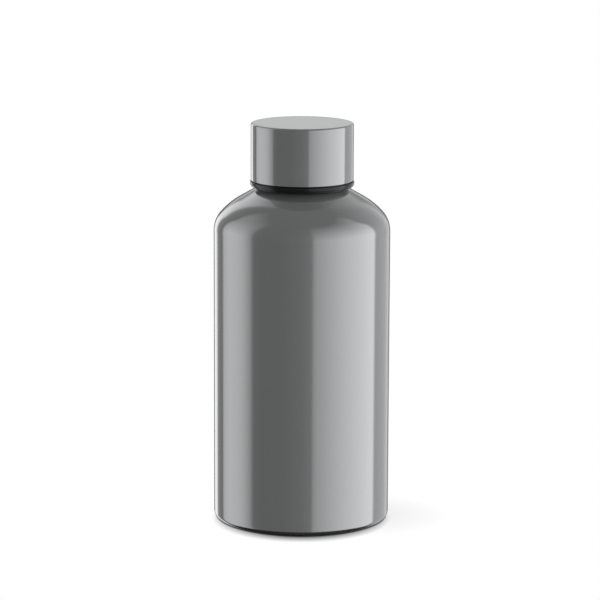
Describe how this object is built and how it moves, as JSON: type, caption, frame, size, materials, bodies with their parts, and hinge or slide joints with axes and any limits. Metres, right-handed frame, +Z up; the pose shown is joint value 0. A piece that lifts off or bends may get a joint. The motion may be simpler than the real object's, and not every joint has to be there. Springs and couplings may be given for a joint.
{
  "type": "fuel bottle",
  "caption": "Cylindrical single-wall metal bottle for camping fuel, with a rounded shoulder, a short wide neck and a flat metal-clad screw cap on a black core.",
  "frame": {"origin": "centre of the base, on the plane of the ring that the bottle stands on", "axes": "+Z up along the bottle's axis, from the base to the cap; +X and +Y are any two directions square to it, because the bottle is round"},
  "size_m": [0.073, 0.073, 0.1662],
  "materials": {
    "bottle_metal": "glossy grey metallic lacquer",
    "cap_metal": "polished, with a clear grey lacquer",
    "black_plastic": "moulded, glossy",
    "seal_rubber": "moulded, matt"
  },
  "bodies": {
    "bottle": {"bottle_shell": "bottle_metal"},
    "seal": {"cap_seal": "seal_rubber"},
    "cap": {"cap_core": "black_plastic", "cap_shell": "cap_metal"}
  },
  "joints": [
    {"name": "cap_lift", "type": "slide", "parent": "bottle", "child": "seal", "axis": [0, 0, 1], "range_m": [0, 0.028]},
    {"name": "cap_turn", "type": "hinge", "parent": "seal", "child": "cap", "pos_m": [0, 0, 0.16], "axis": [0, 0, 1], "range_deg": [0, 2520]}
  ],
  "couplings": [
    {"joint": "cap_lift", "follows": "cap_turn", "m_per_rad": 0.00063662}
  ]
}
